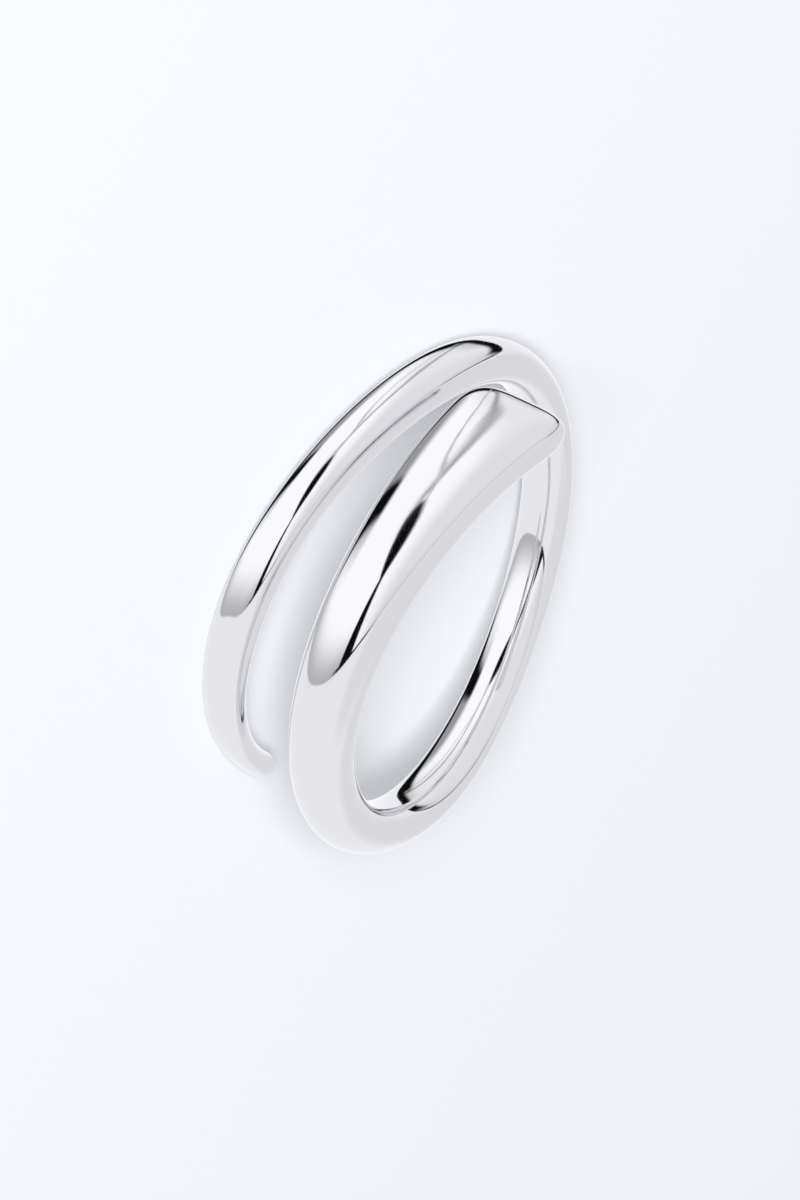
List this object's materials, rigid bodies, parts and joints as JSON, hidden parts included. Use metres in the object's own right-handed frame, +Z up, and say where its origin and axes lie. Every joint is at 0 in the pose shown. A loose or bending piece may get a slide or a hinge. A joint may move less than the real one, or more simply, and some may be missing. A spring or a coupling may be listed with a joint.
{
  "type": "open wrap ring",
  "caption": "Open finger ring: a polished steel bar winds round and past itself, from a broad blunt head to a slim rounded tail.",
  "frame": {"origin": "middle of the foot of the ring's box, on the surface that the ring rests on", "axes": "+Z up, about 8 degrees from the finger hole's axis, because the ring leans on its tail side; -Y is the side where the head and the tail run side by side"},
  "size_m": [0.0208, 0.0208, 0.0079],
  "materials": {
    "polished_steel": "mirror-polished stainless steel"
  },
  "bodies": {
    "root": {"band": "polished_steel"}
  },
  "joints": []
}
